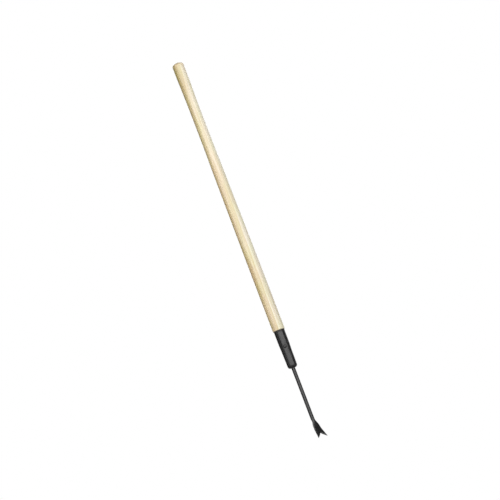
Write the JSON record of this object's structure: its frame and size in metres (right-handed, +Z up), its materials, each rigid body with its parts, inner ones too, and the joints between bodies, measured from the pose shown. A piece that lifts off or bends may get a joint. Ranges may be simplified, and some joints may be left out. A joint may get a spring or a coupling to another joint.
{
  "type": "stand up weeder",
  "caption": "Long-handled weeder: turned wooden shaft, black steel ferrule pinned by a cross rivet, and a forged rod ending in a cranked V-notched blade that levers out tap-rooted weeds.",
  "frame": {"origin": "on the shaft's axis, level with the two points of the fork", "axes": "+Z runs up the shaft to the rounded end of the handle, the tines spread along X, and the blade is cranked towards -Y"},
  "size_m": [0.033, 0.033, 1.067],
  "materials": {
    "handle": "clear-lacquered ash, satin, grain along the shaft",
    "ferrule": "satin black paint on drawn steel",
    "fork": "satin black paint on forged steel",
    "rivet": "satin black paint, rubbed on the crown of the head"
  },
  "bodies": {
    "root": {"handle": "handle", "ferrule": "ferrule", "fork": "fork", "rivet": "rivet"}
  },
  "joints": []
}
